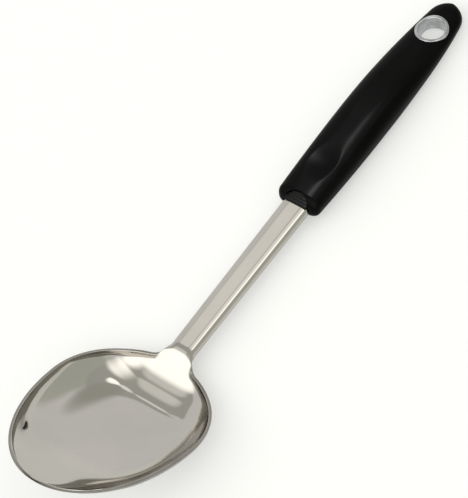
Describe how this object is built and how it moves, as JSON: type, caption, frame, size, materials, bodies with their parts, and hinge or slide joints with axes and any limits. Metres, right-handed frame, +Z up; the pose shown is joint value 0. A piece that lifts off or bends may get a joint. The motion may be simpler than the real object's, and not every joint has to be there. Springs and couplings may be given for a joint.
{
  "type": "serving spoon",
  "caption": "Serving spoon with an oval pressed-steel bowl, a channel stem and a black handle with a steel-lined hanging hole.",
  "frame": {"origin": "on the table, under the middle of the spoon's length and width, with the spoon lying on the undersides of its bowl and handle", "axes": "+X from the tip of the bowl to the end of the handle, +Y across the spoon, +Z up from the table"},
  "size_m": [0.3308, 0.0854, 0.0492],
  "materials": {
    "polished_steel": "mirror-polished stainless sheet",
    "core_nylon": "moulded nylon, hidden",
    "black_grip": "satin black moulded grip",
    "wedge_rubber": "satin black ribbed insert",
    "pin_steel": "plain drawn steel",
    "eyelet_steel": "satin stainless"
  },
  "bodies": {
    "root": {"bowl_and_stem": "polished_steel", "handle_core": "core_nylon", "handle_grip": "black_grip", "mouth_wedge": "wedge_rubber", "tang_pins": "pin_steel", "eyelet_tube": "eyelet_steel", "eyelet_back_ring": "eyelet_steel"}
  },
  "joints": []
}
